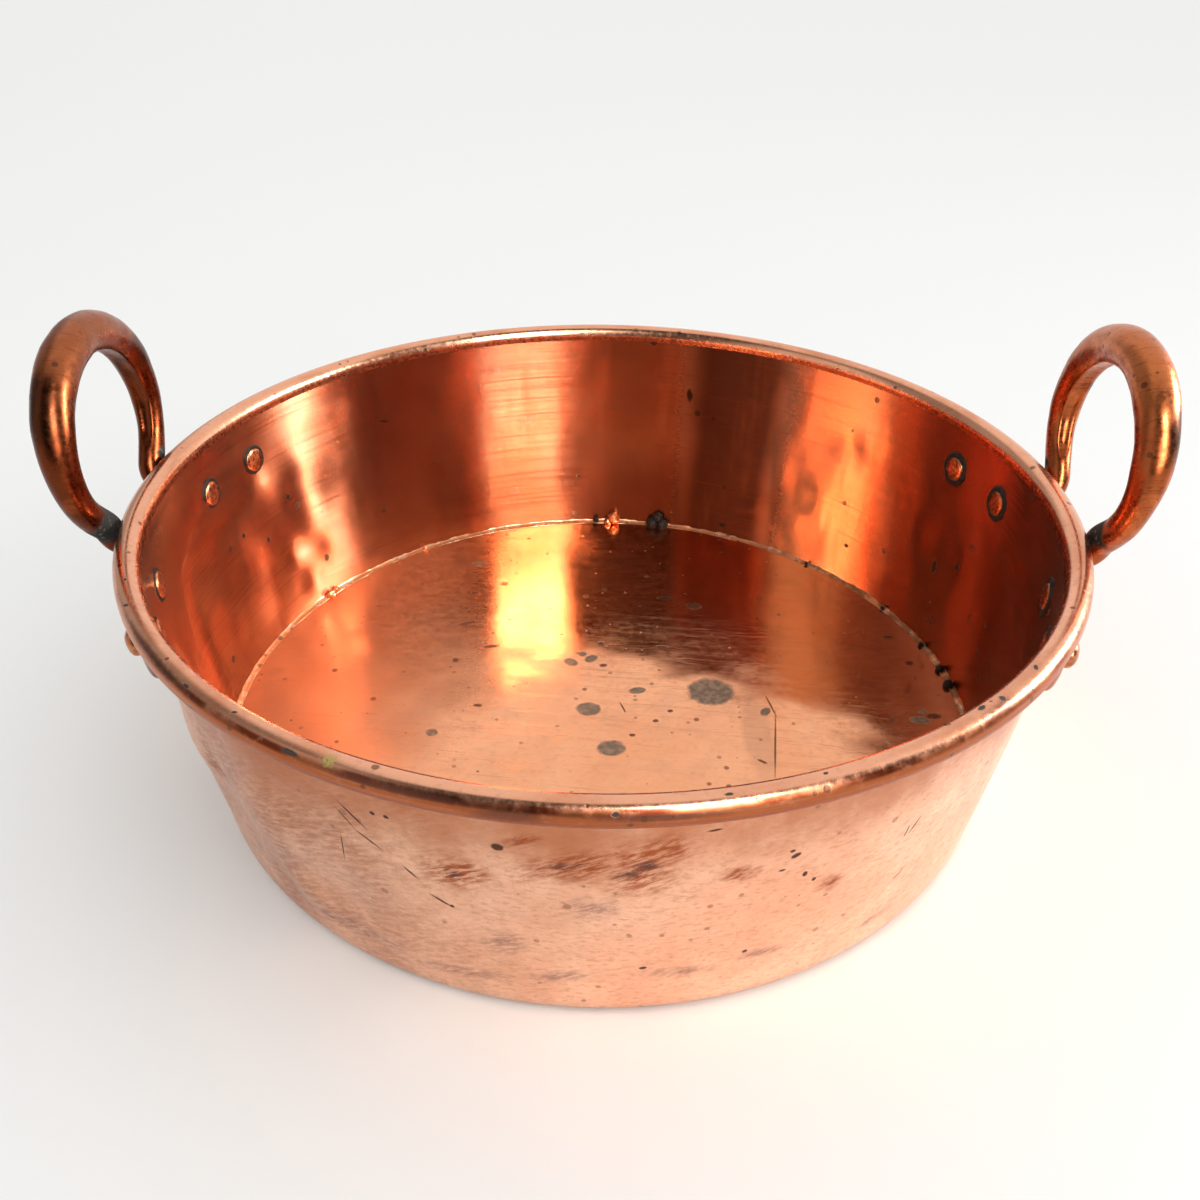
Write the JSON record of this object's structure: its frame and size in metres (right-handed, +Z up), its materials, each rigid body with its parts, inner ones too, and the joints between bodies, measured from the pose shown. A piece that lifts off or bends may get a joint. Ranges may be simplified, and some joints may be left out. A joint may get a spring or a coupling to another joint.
{
  "type": "preserving pan",
  "caption": "Shallow round copper preserving pan with a wired rolled rim, a flat brazed-in base and two riveted upright loop handles.",
  "frame": {"origin": "centre of the underside, on the surface that the pan stands on", "axes": "+X through the right handle, +Y to the rear, +Z up through the mouth"},
  "size_m": [0.4062, 0.3698, 0.1796],
  "materials": {
    "copper_wall": "worn polished copper sheet",
    "copper_base": "worn copper sheet with spots and stains",
    "braze": "rough pale brazing spelter",
    "iron_wire": "plain drawn iron wire",
    "handle_copper": "worn cast copper with brown patina",
    "rivet_copper": "hammered copper with dark edges"
  },
  "bodies": {
    "root": {"pan_wall": "copper_wall", "base_plate": "copper_base", "base_braze_seam": "braze", "rim_wire": "iron_wire", "left_handle": "handle_copper", "right_handle": "handle_copper", "left_rear_inner_rivet": "rivet_copper", "left_rear_outer_rivet": "rivet_copper", "left_front_inner_rivet": "rivet_copper", "left_front_outer_rivet": "rivet_copper", "right_rear_inner_rivet": "rivet_copper", "right_rear_outer_rivet": "rivet_copper", "right_front_inner_rivet": "rivet_copper", "right_front_outer_rivet": "rivet_copper"}
  },
  "joints": []
}
